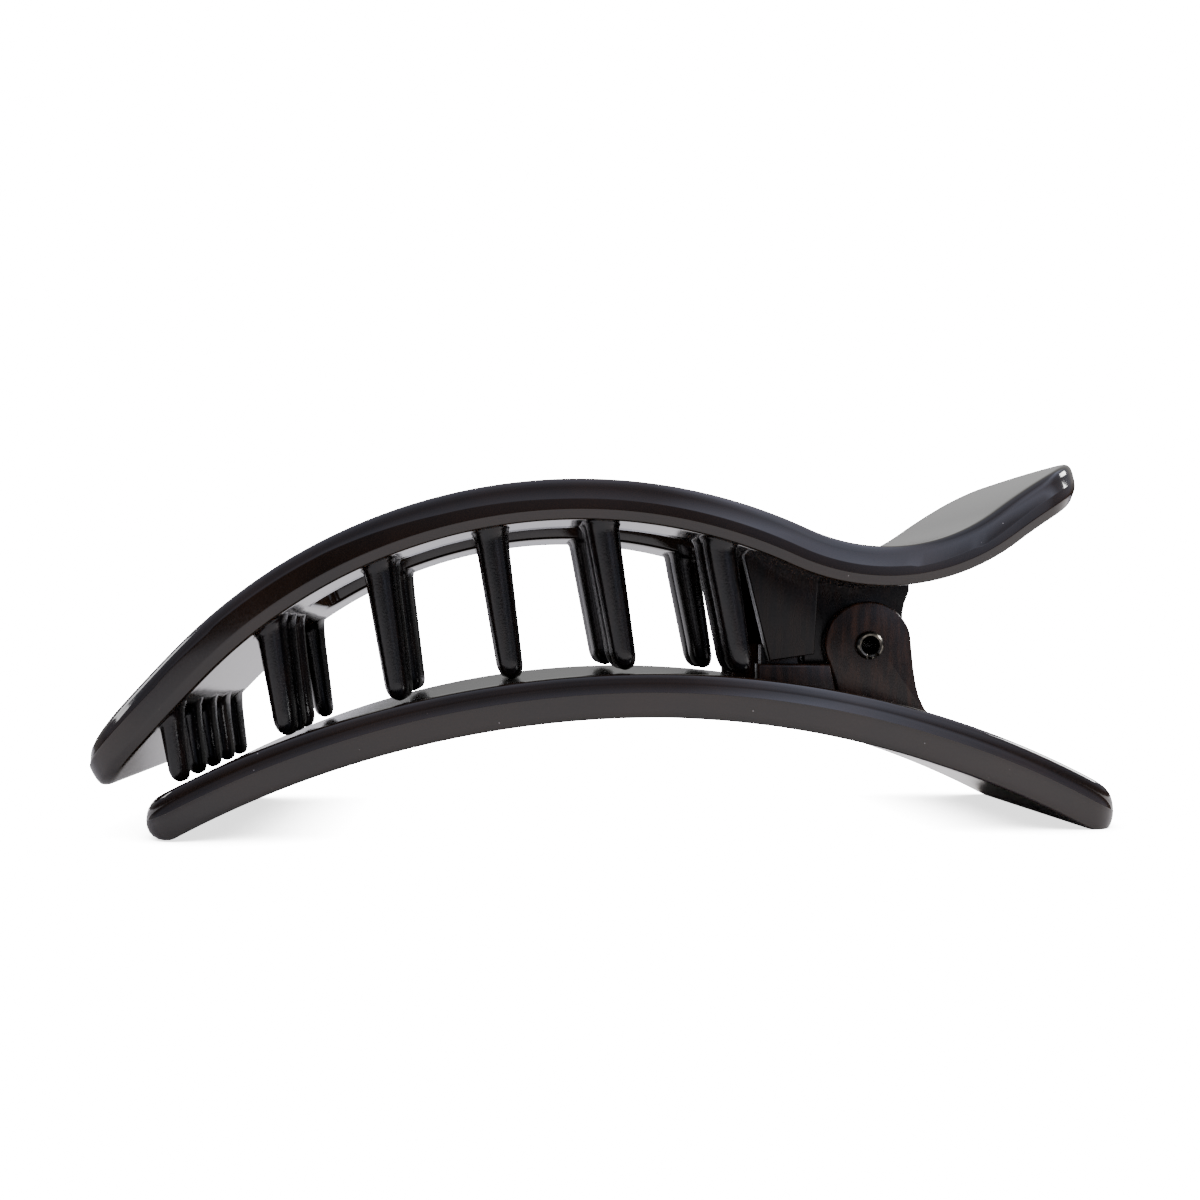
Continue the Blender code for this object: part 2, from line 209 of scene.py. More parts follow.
def outward_directions(edges):
    """For each point of the open edges, the way out of the sheet, lengthened at corners."""
    pulls = {}
    for edge in edges:
        inside = edge.link_faces[0].calc_center_median()
        first, second = edge.verts
        along = (second.co - first.co).normalized()
        out = Vector((along.y, -along.x, 0))
        if out.dot(inside - first.co) > 0:
            out.negate()
        for vert in edge.verts:
            pulls.setdefault(vert, []).append(out)
    result = {}
    for vert, outs in pulls.items():
        mean = sum(outs, Vector()).normalized()
        result[vert] = mean / max(0.5, mean.dot(outs[0]))
    return result


def grow_rim(bm, edges, side_profile, end_profile, tip_blend=0.0):
    """Extrude open edges down two profiles of (outward, down) steps in mm: one for the
    clip's long sides, one for its ends. They blend round the corners. Over a distance
    from the tip, the top round blends too, and the wall leans in more towards its top."""
    tip = min(v.co.x for e in edges for v in e.verts)
    start = {v: v.co.copy() for e in edges for v in e.verts}
    away = outward_directions(edges)
    for at_side, at_end in zip(side_profile, end_profile):
        made = bmesh.ops.extrude_edge_only(bm, edges=edges)["geom"]
        fresh = {g for g in made if isinstance(g, bmesh.types.BMVert)}
        for vert in fresh:
            old = next(e.other_vert(vert) for e in vert.link_edges if e.other_vert(vert) not in fresh)
            start[vert] = start[old]
            away[vert] = away[old]
            endwise = away[vert].normalized().x ** 2
            nearness = max(0.0, 1 - (start[vert].x - tip) / tip_blend) if tip_blend else 0.0
            if at_side[1] < TOP_ROUND:
                endwise = max(endwise, nearness)
            outward, down = (a + (b - a) * endwise for a, b in zip(at_side, at_end))
            outward -= TIP_DRAFT * nearness * max(0.0, DRAFT_DEPTH - down)
            vert.co = start[vert] + away[vert] * outward * MM
            vert.co.z = -down * MM
        edges = [g for g in made if isinstance(g, bmesh.types.BMEdge) and fresh.issuperset(g.verts)]


def close_below(bm, top_faces, depth):
    """Copy the top to the underside, at a depth in mm, and weld it to the rims."""
    copied = bmesh.ops.duplicate(bm, geom=top_faces)["geom"]
    below = [g for g in copied if isinstance(g, bmesh.types.BMFace)]
    for vert in {v for f in below for v in f.verts}:
        vert.co.z = -depth * MM
    bmesh.ops.reverse_faces(bm, faces=below)
    bmesh.ops.remove_doubles(bm, verts=bm.verts, dist=0.002 * MM)


# %% Rim profiles, from the top face's edge to the underside's, in mm
# The sheet's edge lies RIM_START inside the clip's outline. TOP_ROUND is where the top round
# ends, and the tip's wall leans in by TIP_DRAFT for each mm above DRAFT_DEPTH.
RIM_START, TOP_ROUND = 1.6, 0.8
TIP_DRAFT, DRAFT_DEPTH = 0.05, 3.0
UPPER_RIM = (
    # outward from the sheet's edge, down from the top, in mm
    (0.85, 0.02),
    (1.06, 0.07),
    (1.25, 0.18),
    (1.39, 0.35),
    (1.48, 0.60),
    (1.525, 1.00),
    (1.555, 2.20),
    (1.585, 2.24),
    (1.586, 2.29),
    (1.588, 2.44),
    (1.60, 3.30),
    (1.60, 3.42),
    (1.58, 3.50),
    (1.54, 3.58),
    (1.26, 4.24),
    (1.19, 4.35),
    (1.04, 4.43),
    (0.0, 4.45),
)
UPPER_END_RIM = (
    (0.38, 0.04),
    (0.74, 0.15),
    (1.05, 0.34),
    (1.28, 0.62),
    (1.44, 1.00),
    (1.54, 1.50),
    (1.58, 2.00),
    (1.595, 2.20),
    (1.60, 2.29),
    (1.595, 2.38),
    (1.55, 2.75),
    (1.44, 3.15),
    (1.27, 3.52),
    (1.06, 3.82),
    (0.80, 4.08),
    (0.52, 4.28),
    (0.22, 4.41),
    (0.0, 4.45),
)
LOWER_RIM = (
    (0.90, 0.02),
    (1.12, 0.07),
    (1.28, 0.17),
    (1.39, 0.34),
    (1.45, 0.60),
    (1.49, 1.10),
    (1.56, 1.98),
    (1.595, 2.02),
    (1.60, 2.08),
    (1.57, 2.13),
    (1.54, 2.60),
    (1.50, 3.20),
    (1.46, 3.90),
    (1.41, 4.40),
    (1.30, 4.66),
    (1.05, 4.81),
    (0.0, 4.85),
)
LOWER_END_RIM = (
    (0.42, 0.05),
    (0.80, 0.18),
    (1.12, 0.38),
    (1.36, 0.66),
    (1.50, 1.00),
    (1.57, 1.35),
    (1.58, 1.60),
    (1.60, 1.64),
    (1.60, 1.72),
    (1.575, 1.78),
    (1.56, 2.05),
    (1.47, 2.40),
    (1.30, 2.75),
    (1.02, 3.05),
    (0.62, 3.25),
    (0.30, 3.31),
    (0.0, 4.85),
)
WINDOW_RIM = (
    (0.20, 0.05),
    (0.34, 0.18),
    (0.40, 0.40),
    (0.44, 2.20),
    (0.40, 4.05),
    (0.34, 4.27),
    (0.20, 4.40),
    (0.0, 4.45),
)
print("rings down each rim:", [len(rim) for rim in (UPPER_RIM, LOWER_RIM, WINDOW_RIM)])

# %% [markdown]
# ## Finishes
# The jaws are hard black plastic from a polished mould: near black, very smooth, with a few
# specks of dust. The teeth and hinge plates come from rougher mould pockets, so they sparkle a
# little and have a brown cast. The outer ears are painted a lighter, browner satin, a painted
# reflection of a bright part of the room. The rivet is dark brass and the spring is bright
# drawn wire. Each finish mixes two near colours by a noise of a real size.

# %% Colour and node helpers
def paint(code):
    """Linear colour from an sRGB hex value."""
    parts = [int(code[i : i + 2], 16) / 255 for i in (1, 3, 5)]
    return [c / 12.92 if c <= 0.04045 else ((c + 0.055) / 1.055) ** 2.4 for c in parts] + [1.0]


def add(tree, kind, links=(), **settings):
    """Add a node, set its attributes and inputs, and link (input, socket) pairs to it."""
    node = tree.nodes.new(kind)
    for name, value in settings.items():
        if hasattr(node, name):
            setattr(node, name, value)
        else:
            node.inputs[name.replace("_", " ")].default_value = value
    for name, socket in links:
        tree.links.new(socket, node.inputs[name])
    return node


def new_finish(name, **constants):
    """A material with its Principled shader, constants set straight on its sockets."""
    material = bpy.data.materials.new(name)
    material.use_nodes = True
    shader = material.node_tree.nodes["Principled BSDF"]
    for key, value in constants.items():
        shader.inputs[key.replace("_", " ")].default_value = value
    return material, material.node_tree, shader


def ramp(tree, socket, low, high, out_low=0.0, out_high=1.0):
    """Stretch a value between two limits, clamped."""
    node = add(tree, "ShaderNodeMapRange", [("Value", socket)])
    for key, value in (("From Min", low), ("From Max", high), ("To Min", out_low), ("To Max", out_high)):
        node.inputs[key].default_value = value
    return node.outputs["Result"]


def mixed(tree, factor, first, second):
    """Mix two colours by a value."""
    node = add(tree, "ShaderNodeMix", data_type="RGBA")
    tree.links.new(factor, node.inputs["Factor"])
    for slot, colour in ((6, first), (7, second)):
        if isinstance(colour, bpy.types.NodeSocket):
            tree.links.new(colour, node.inputs[slot])
        else:
            node.inputs[slot].default_value = colour
    return node.outputs[2]


# %% Polished black plastic of the jaws
# Deep black with sharp reflections, sparse dust and a very slight wave in the surface.
def polished_plastic():
    material, tree, shader = new_finish("polished moulded ABS, black", IOR=1.53)
    place = add(tree, "ShaderNodeTexCoord").outputs["Object"]
    specks = add(tree, "ShaderNodeTexVoronoi", [("Vector", place)], Scale=1 / (1.6 * MM))
    pick = add(tree, "ShaderNodeTexNoise", [("Vector", place)], Scale=1 / (3.1 * MM), Detail=1.0)
    near = ramp(tree, specks.outputs["Distance"], 0.035, 0.06, 1.0, 0.0)
    chosen = ramp(tree, pick.outputs["Fac"], 0.56, 0.60)
    dust = add(tree, "ShaderNodeMath", [(0, near), (1, chosen)], operation="MULTIPLY").outputs[0]
    cloud = add(tree, "ShaderNodeTexNoise", [("Vector", place)], Scale=1 / (9 * MM), Detail=3.0)
    tone = mixed(tree, ramp(tree, cloud.outputs["Fac"], 0.35, 0.7), paint("#150d08"), paint("#20140c"))
    tree.links.new(mixed(tree, dust, tone, paint("#8a8482")), shader.inputs["Base Color"])
    fine = add(tree, "ShaderNodeTexNoise", [("Vector", place)], Scale=1 / (0.25 * MM), Detail=2.0)
    tree.links.new(ramp(tree, fine.outputs["Fac"], 0.3, 0.8, 0.07, 0.13), shader.inputs["Roughness"])
    wave = add(tree, "ShaderNodeTexNoise", [("Vector", place)], Scale=1 / (7 * MM), Detail=1.5)
    bump = add(tree, "ShaderNodeBump", [("Height", wave.outputs["Fac"])], Strength=0.25, Distance=0.05 * MM)
    tree.links.new(bump.outputs["Normal"], shader.inputs["Normal"])
    return material


jaw_plastic = polished_plastic()
print("made:", jaw_plastic.name)


# %% Satin black plastic of the teeth and hinge plates
# Streaky satin with tiny glints and a brown cast, from a mould pocket that isn't polished. The
# teeth glint most and the stop plates are the dullest. The outer ears get lighter, browner
# colours, a painted reflection of a bright part of the room.
def satin_plastic(name, dark, brown, rough_low, rough_high, glint, ior):
    material, tree, shader = new_finish(name, IOR=ior)
    place = add(tree, "ShaderNodeTexCoord").outputs["Object"]
    stretched = add(tree, "ShaderNodeMapping", [("Vector", place)], Scale=(1, 1, 0.18))
    along = stretched.outputs["Vector"]
    streaks = add(tree, "ShaderNodeTexNoise", [("Vector", along)], Scale=1 / (0.7 * MM), Detail=4.0)
    tone = mixed(tree, ramp(tree, streaks.outputs["Fac"], 0.42, 0.68), paint(dark), paint(brown))
    tree.links.new(tone, shader.inputs["Base Color"])
    finest = 1 / (0.22 * MM)
    noise = add(tree, "ShaderNodeTexNoise", [("Vector", place)], Scale=finest, Detail=3.0, Roughness=0.7)
    grain = noise.outputs["Fac"]
    tree.links.new(ramp(tree, grain, 0.3, 0.75, rough_low, rough_high), shader.inputs["Roughness"])
    bump = add(tree, "ShaderNodeBump", [("Height", grain)], Strength=glint, Distance=0.04 * MM)
    tree.links.new(bump.outputs["Normal"], shader.inputs["Normal"])
    return material


tooth_plastic = satin_plastic("satin moulded ABS, black teeth", "#070607", "#160e0b", 0.1, 0.2, 0.5, 1.43)
stop_plastic = satin_plastic("satin moulded ABS, stop plates", "#0b0706", "#1d120d", 0.16, 0.28, 0.15, 1.3)
# The outer ears' colours are lighter than the other plates' only as a painted reflection.
ear_plastic_painted_reflection = satin_plastic("satin moulded ABS, outer ears", "#1a100b", "#372217", 0.18, 0.3, 0.25, 1.36)
print("made:", tooth_plastic.name, "and", stop_plastic.name, "and", ear_plastic_painted_reflection.name)


# %% Dark brass of the rivet
# A warm dark metal with rubbed bright spots.
def rivet_brass():
    material, tree, shader = new_finish("darkened brass, rolled rivet", Metallic=1.0)
    place = add(tree, "ShaderNodeTexCoord").outputs["Object"]
    cloud = add(tree, "ShaderNodeTexNoise", [("Vector", place)], Scale=1 / (0.5 * MM), Detail=3.0)
    tone = mixed(tree, ramp(tree, cloud.outputs["Fac"], 0.35, 0.7), paint("#34322e"), paint("#6e6a61"))
    tree.links.new(tone, shader.inputs["Base Color"])
    tree.links.new(ramp(tree, cloud.outputs["Fac"], 0.3, 0.7, 0.3, 0.18), shader.inputs["Roughness"])
    return material


brass = rivet_brass()
print("made:", brass.name)


# %% Drawn steel of the spring
# Bright wire with fine marks along it.
def spring_steel():
    material, tree, shader = new_finish("drawn spring steel wire", Metallic=1.0)
    place = add(tree, "ShaderNodeTexCoord").outputs["Object"]
    marks = add(tree, "ShaderNodeTexNoise", [("Vector", place)], Scale=1 / (0.3 * MM), Detail=3.0)
    tone = mixed(tree, ramp(tree, marks.outputs["Fac"], 0.35, 0.7), paint("#8d8d90"), paint("#b9b9bb"))
    tree.links.new(tone, shader.inputs["Base Color"])
    tree.links.new(ramp(tree, marks.outputs["Fac"], 0.3, 0.7, 0.22, 0.36), shader.inputs["Roughness"])
    return material


steel = spring_steel()
print("made:", steel.name)

# %% [markdown]
# ## Upper jaw plate
# This is the wave with the window. The grid has a band of rows for each rim and one for the
# middle, and the middle band's faces are removed between the window's ends. The window's
# corners are round because its edge row draws in near both ends.

# %% Make the upper plate
INSET = RIM_START * MM
WINDOW_INSET = 0.44 * MM
WINDOW_CORNER = 1.6 * MM
WINDOW_ROW = 10
UPPER_CORNER, TAB_BULGE = 5.0 * MM, 2.0 * MM
TIP_BLEND = 20 * MM


def upper_rows(x):
    """Heights across the flat upper sheet at x, from one side to the other."""
    to_tip, to_tab = x - (TIP_X + INSET), (TAB_X - INSET) - x
    outer = half_width(x) - INSET
    outer -= corner_inset(to_tip, UPPER_CORNER - INSET) + corner_inset(to_tab, UPPER_CORNER - INSET)
    start, end = WINDOW[0] - WINDOW_INSET, WINDOW[1] + WINDOW_INSET
    window = WINDOW_HALF + WINDOW_INSET
    radius = WINDOW_CORNER + WINDOW_INSET
    window -= corner_inset(min(max(x - start, 0), max(end - x, 0)), radius)
    window = min(window, 0.75 * outer)
    side = [window + (outer - window) * t for t in (1, 0.86, 0.6, 0.3, 0)]
    middle = [window * t for t in (0.66, 0.33, 0)]
    half = side + middle
    return [-y for y in half] + half[-2::-1]


upper_corners = (
    (TIP_X + INSET, UPPER_CORNER - INSET, 1),
    (WINDOW[0] - WINDOW_INSET, WINDOW_CORNER + WINDOW_INSET, 1),
    (WINDOW[1] + WINDOW_INSET, WINDOW_CORNER + WINDOW_INSET, -1),
    (TAB_X - INSET, UPPER_CORNER - INSET, -1),
)
upper_xs = spread(TIP_X + INSET, TAB_X - INSET, upper_corners, 0.8 * MM)
plate = flat_sheet(upper_xs, upper_rows)
hole = []
for face in plate.faces:
    centre = face.calc_center_median()
    between = WINDOW[0] - WINDOW_INSET < centre.x < WINDOW[1] + WINDOW_INSET
    if between and abs(centre.y) < upper_rows(centre.x)[WINDOW_ROW]:
        hole.append(face)
bmesh.ops.delete(plate, geom=hole, context="FACES")
for vert in plate.verts:
    nearness = max(0.0, 1 - (TAB_X - vert.co.x) / (2 * UPPER_CORNER))
    vert.co.x -= TAB_BULGE * nearness * (vert.co.y / HALF_WIDTH) ** 2
top_faces = list(plate.faces)
open_edges = [e for e in plate.edges if len(e.link_faces) == 1]
around_window = []
for edge in open_edges:
    a, b = (v.co for v in edge.verts)
    inside = max(abs(a.y), abs(b.y)) < WINDOW_HALF + 2 * WINDOW_INSET
    if inside and WINDOW[0] - 1 * MM < a.x < WINDOW[1] + 1 * MM:
        around_window.append(edge)
around_clip = [e for e in open_edges if e not in around_window]
grow_rim(plate, around_window, WINDOW_RIM, WINDOW_RIM)
grow_rim(plate, around_clip, UPPER_RIM, UPPER_END_RIM, TIP_BLEND)
close_below(plate, top_faces, UPPER_RIM[-1][1])
print("open edges left:", sum(len(e.link_faces) != 2 for e in plate.edges))

# The parting line isn't straight: it lies high along the tip's side and low from the middle
# on, with small kinks where the mould's faces meet.
PARTING_DEPTH, PARTING_REACH = 2.27, 1.15
PARTING_WANDER = (
    # place along the clip, how far the line moves down, in mm
    (-58.0, -0.90),
    (-50.0, -0.80),
    (-49.2, -0.95),
    (-44.6, -0.85),
    (-43.8, -1.00),
    (-32.0, -0.85),
    (-20.0, -0.25),
    (-7.0, 0.0),
    (32.0, 0.05),
    (32.8, 0.28),
    (39.2, 0.10),
    (40.0, 0.34),
    (47.0, 0.05),
    (54.0, 0.0),
)
places, moves = zip(*PARTING_WANDER)
for vert in plate.verts:
    from_line = abs(-vert.co.z / MM - PARTING_DEPTH)
    share = min(1.0, max(0.0, (PARTING_REACH - from_line) / (PARTING_REACH - 0.1)))
    vert.co.z -= share * float(np.interp(vert.co.x / MM, places, moves)) * MM


def bend_upper(vert):
    """Carry a point of the flat upper plate to its place on the wave."""
    x, y, depth = vert.co.x, vert.co.y, -vert.co.z / THICKNESS
    lean = TIP_LEAN if x < WIDEST_X else TAB_LEAN
    below = x + lean * THICKNESS * math.sin(upper_heading(x))
    z = (1 - depth) * upper_height(x, 1) + depth * upper_height(below, -1)
    vert.co = Vector((x + depth * (below - x), y, z))


for vert in plate.verts:
    bend_upper(vert)
upper_plate = finish_piece(plate, "upper_jaw_plate", jaw_plastic, "upper", "upper_jaw")

# %% [markdown]
# ## Lower jaw plate
# The lower jaw is the same kind of plate bent to one arc, with no window. Its parting line is a
# small step, higher on the wall than on the upper jaw, and the plate grows a little thicker
# towards its back end.

# %% Make the lower plate
LOWER_CORNER = 4.0 * MM
EXTRA_PLACES, EXTRA_DEPTHS = (5.0, 22.0, 36.0), (0.0, 0.25, 0.5)


def lower_rows(x):
    """Heights across the flat lower sheet at x, from one side to the other."""
    to_start, to_end = x - (LOWER_START + INSET), (LOWER_END - INSET) - x
    outer = half_width(x) - INSET
    outer -= corner_inset(to_start, LOWER_CORNER - INSET) + corner_inset(to_end, LOWER_CORNER - INSET)
    half = [outer * t for t in (1, 0.93, 0.8, 0.55, 0.28, 0)]
    return [-y for y in half] + half[-2::-1]


lower_corners = (
    (LOWER_START + INSET, LOWER_CORNER - INSET, 1),
    (LOWER_END - INSET, LOWER_CORNER - INSET, -1),
)
lower_xs = spread(LOWER_START + INSET, LOWER_END - INSET, lower_corners, 0.8 * MM)
plate = flat_sheet(lower_xs, lower_rows)
top_faces = list(plate.faces)
grow_rim(plate, [e for e in plate.edges if len(e.link_faces) == 1], LOWER_RIM, LOWER_END_RIM)
close_below(plate, top_faces, LOWER_RIM[-1][1])
for vert in plate.verts:
    x, depth = vert.co.x, -vert.co.z / THICKNESS
    below = lower_height(x, -1) - float(np.interp(x / MM, EXTRA_PLACES, EXTRA_DEPTHS)) * MM
    vert.co.z = max(0.0, (1 - depth) * lower_height(x, 1) + depth * below)
lower_plate = finish_piece(plate, "lower_jaw_plate", jaw_plastic, "lower", "lower_jaw")

# %% [markdown]
# ## Teeth
# Each tooth is a tapered oval post with a round tip, moulded with the jaw. Where the two mould
# halves meet, a thin ridge runs down both flat sides, and at the root the post flares into
# the jaw. A disc is extruded down in steps, and each step is scaled and moved.

# %% Make the teeth
TOOTH_SIDES = 28
DEPTH_AT_ROOT, DEPTH_AT_TIP = 4.2 * MM, 3.4 * MM
CLEARANCE = 0.3 * MM
RIM_PLACES = (-15.8, -10.5, 10.5, 15.8)
TOOTH_ROWS = (
    # root x, tip x, width at root, width at tip, places across the clip, all in mm
    (-48.6, -47.5, 2.5, 2.0, (-16.0, -8.0, 0.0, 8.0, 16.0)),
    (-38.2, -36.3, 3.1, 2.3, (-15.2, -9.0, -2.2, 15.8)),
    (-26.5, -24.2, 3.3, 2.4, (-15.4, -10.3, 10.3, 15.4)),
    (-14.3, -11.9, 3.5, 2.6, RIM_PLACES),
    (-2.0, 0.7, 3.5, 2.6, RIM_PLACES),
    (11.1, 13.7, 3.6, 2.7, RIM_PLACES),
)
RIDGE, ROOT_FLARE = 0.13 * MM, 0.55 * MM
# Shares of a tooth's length: the flare at its root, and the part that follows the jaw's curve.
FLARE_SHARE, ROOT_SHARE = 0.05, 0.16


def tooth_section(verts, centre_x, centre_y, width, depth, height_at):
    """Place one ring of a tooth: an oval with a ridge on its two flat sides."""
    for k, vert in enumerate(verts):
        angle = 2 * math.pi * k / len(verts)
        across, along = math.cos(angle), math.sin(angle)
        ridge = RIDGE * max(0.0, 1 - abs(along) / 0.2) if width > RIDGE * 8 else 0
        x = centre_x + math.copysign(abs(across) ** 0.9, across) * width / 2 + math.copysign(ridge, across)
        y = centre_y + math.copysign(abs(along) ** 0.9, along) * depth / 2
        vert.co = Vector((x, y, height_at(x)))


def add_tooth(bm, row, across):
    """One tooth of a row, extruded ring by ring from inside the jaw to its round tip."""
    root_x, tip_x, root_width, tip_width = (v * MM for v in row[:4])
    y = across * MM
    root_z, tip_z = upper_height(root_x, -1), lower_height(tip_x, 1) + CLEARANCE
    made = bmesh.ops.create_circle(bm, cap_ends=True, segments=TOOTH_SIDES, radius=1)
    ring = sorted(made["verts"], key=lambda v: math.atan2(v.co.y, v.co.x) % (2 * math.pi))
    cap = ring[0].link_faces[0]
    stations = [-0.08, 0.0, 0.012, 0.035, 0.08] + [0.14 + 0.08 * k for k in range(10)]
    round_height = 0.62 * tip_width
    last = 1 - round_height / (root_z - tip_z)
    stations = [s for s in stations if s < last - 0.03] + [last]
    rings = []
    for s in stations:
        flare = ROOT_FLARE * max(0.0, 1 - max(s, 0) / FLARE_SHARE) ** 2
        width = root_width + (tip_width - root_width) * s + flare
        depth = DEPTH_AT_ROOT + (DEPTH_AT_TIP - DEPTH_AT_ROOT) * s + flare
        rings.append((s, width, depth))
    for k in range(1, 6):
        angle = math.pi / 2 * k / 5.4
        s = last + (1 - last) * math.sin(angle)
        shrink = math.cos(angle)
        rings.append((s, tip_width * shrink, tip_width * shrink + (DEPTH_AT_TIP - tip_width) * shrink ** 0.5))
    for number, (s, width, depth) in enumerate(rings):
        if number:
            made = bmesh.ops.extrude_face_region(bm, geom=[cap])["geom"]
            fresh = [g for g in made if isinstance(g, bmesh.types.BMVert)]
            ring = [next(e.other_vert(v) for e in v.link_edges if e.other_vert(v) in fresh) for v in ring]
            old_cap, cap = cap, next(g for g in made if isinstance(g, bmesh.types.BMFace))
            # The first cap closes the root. A later one would be left inside the tooth.
            if old_cap.is_valid and number > 1:
                bmesh.ops.delete(bm, geom=[old_cap], context="FACES_ONLY")
        centre = root_x + (tip_x - root_x) * s

        def height_at(x, s=s):
            level = root_z + (tip_z - root_z) * s
            near_root = max(0.0, 1 - max(s, 0) / ROOT_SHARE)
            return level + near_root * (upper_height(x, -1) - root_z)

        tooth_section(ring, centre, y, width, depth, height_at)
    bmesh.ops.poke(bm, faces=[cap])


for number, row in enumerate(TOOTH_ROWS, 1):
    teeth = bmesh.new()
    for across in row[4]:
        add_tooth(teeth, row, across)
    piece = finish_piece(teeth, "tooth_row_%d" % number, tooth_plastic, "upper", "upper_jaw")

# %% [markdown]
# ## Hinge plates
# Under the saddle stand upright plates: on each side a stop plate and an ear of the upper jaw,
# and an ear, a low block and a guide wall of the lower jaw. They are flat mouldings with a fine
# round on every edge. An outline is filled, extruded to its thickness and bevelled, and a
# cylinder cuts the rivet's hole.

# %% Make the hinge plates
PIN, PIN_HOLE = (29.5 * MM, 21.0 * MM), 1.25 * MM
OUTER_FACE, PLATE, GAP = 12.2 * MM, 1.9 * MM, 0.3 * MM
INNER_FACE = OUTER_FACE - PLATE - GAP
FINE_ROUND, EAR_ROUND, BLOCK_ROUND = 0.16, 0.25, 0.4


def arc(radius, start, end, steps):
    """Points of an arc about the rivet in mm, from one angle to another in degrees."""
    angles = np.radians(np.linspace(start, end, steps + 1))
    return [(PIN[0] / MM + radius * math.cos(a), PIN[1] / MM + radius * math.sin(a)) for a in angles]


def add_plate(bm, outline, outer_face, thickness, edge_round):
    """One upright plate on each side of the clip, from an outline of (x, z) in mm."""
    for side in (-1, 1):
        verts = [bm.verts.new((x * MM, side * outer_face, z * MM)) for x, z in outline]
        face = bm.faces.new(verts)
        made = bmesh.ops.extrude_face_region(bm, geom=[face], use_keep_orig=True)["geom"]
        fresh = [g for g in made if isinstance(g, bmesh.types.BMVert)]
        bmesh.ops.translate(bm, verts=fresh, vec=(0, -side * thickness, 0))
        rims = {e for f in (face, *{g for v in fresh for g in v.link_faces}) for e in f.edges}
        rims = [e for e in rims if abs(e.verts[0].co.y - e.verts[1].co.y) < 1e-7]
        bmesh.ops.bevel(
            bm,
            geom=rims,
            offset=edge_round * MM,
            segments=3,
            profile=0.5,
            affect="EDGES",
            material=-1,
            clamp_overlap=True,
        )


def upper_mid(x):
    return (x, upper_height(x * MM, 0) / MM)


def lower_mid(x):
    return (x, lower_height(x * MM, 0) / MM)


STOP_PLATE = [(14.9, 30.9), (17.8, 19.15), (23.05, 19.95), (23.5, 28.9), upper_mid(23.5), upper_mid(14.9)]
UPPER_EAR = arc(4.4, 208.5, 385, 36) + [(34.2, 24.0), (34.2, 24.8), (34.4, 25.9), (35.0, 27.4)]
UPPER_EAR += [upper_mid(35.0), upper_mid(22.3), (22.3, 18.9)]
LOWER_EAR = arc(5.1, 200, 15, 40) + [(34.8, 18.6), (35.1, 16.6), (35.5, 15.0), (36.2, 13.6), (37.0, 12.7)]
LOWER_EAR += [(38.4, 12.0), lower_mid(38.4), lower_mid(25.9), (25.9, 15.6), (24.85, 19.0)]
STOP_BLOCK = [(16.4, 18.85), (25.0, 18.85), (25.7, 15.6), lower_mid(25.7), lower_mid(16.4)]
GUIDE_WALL = [(17.3, 21.0), (21.7, 21.0), lower_mid(21.7), lower_mid(17.3)]


def bore(piece):
    """Cut the rivet's hole through the plates with a cylinder."""
    drill = bmesh.new()
    turned = Matrix.Translation((PIN[0], 0, PIN[1])) @ Matrix.Rotation(math.pi / 2, 4, "X")
    bmesh.ops.create_cone(
        drill,
        cap_ends=True,
        segments=48,
        radius1=PIN_HOLE,
        radius2=PIN_HOLE,
        depth=30 * MM,
        matrix=turned,
    )
    mesh = bpy.data.meshes.new("drill")
    drill.to_mesh(mesh)
    drill.free()
    tool = bpy.data.objects.new("drill", mesh)
    bpy.context.scene.collection.objects.link(tool)
    cut = piece.modifiers.new("rivet hole", "BOOLEAN")
    cut.object = tool
    cut.operation = "DIFFERENCE"
    bpy.context.view_layer.update()
    bored = bpy.data.meshes.new_from_object(piece.evaluated_get(bpy.context.evaluated_depsgraph_get()))
    piece.modifiers.clear()
    piece.data = bored
    bpy.data.objects.remove(tool)


plates = bmesh.new()
add_plate(plates, STOP_PLATE, OUTER_FACE, PLATE, FINE_ROUND)
add_plate(plates, UPPER_EAR, INNER_FACE, PLATE, FINE_ROUND)
piece = finish_piece(plates, "upper_hinge_plates", stop_plastic, "upper", "upper_jaw")
bore(piece)
plates = bmesh.new()
add_plate(plates, LOWER_EAR, OUTER_FACE, PLATE, EAR_ROUND)
add_plate(plates, STOP_BLOCK, OUTER_FACE, PLATE, BLOCK_ROUND)
add_plate(plates, GUIDE_WALL, INNER_FACE, PLATE, FINE_ROUND)
piece = finish_piece(plates, "lower_hinge_plates", ear_plastic_painted_reflection, "lower", "lower_jaw")
bore(piece)

# %% [markdown]
# ## Rivet
# The rivet is a brass tube whose ends are rolled outwards over the ears. Its section is spun
# once round the pin's axis, and two small splits, which the rolling leaves, are pressed in.

# %% Make the rivet
RIVET_SECTION = (
    # radius, distance from the clip's middle, in mm
    (0.82, 11.6),
    (0.86, 12.30),
    (0.96, 12.62),
    (1.12, 12.84),
    (1.32, 12.88),
    (1.52, 12.76),
    (1.64, 12.58),
    (1.62, 12.44),
    (1.15, 12.40),
    (1.15, 11.6),
)
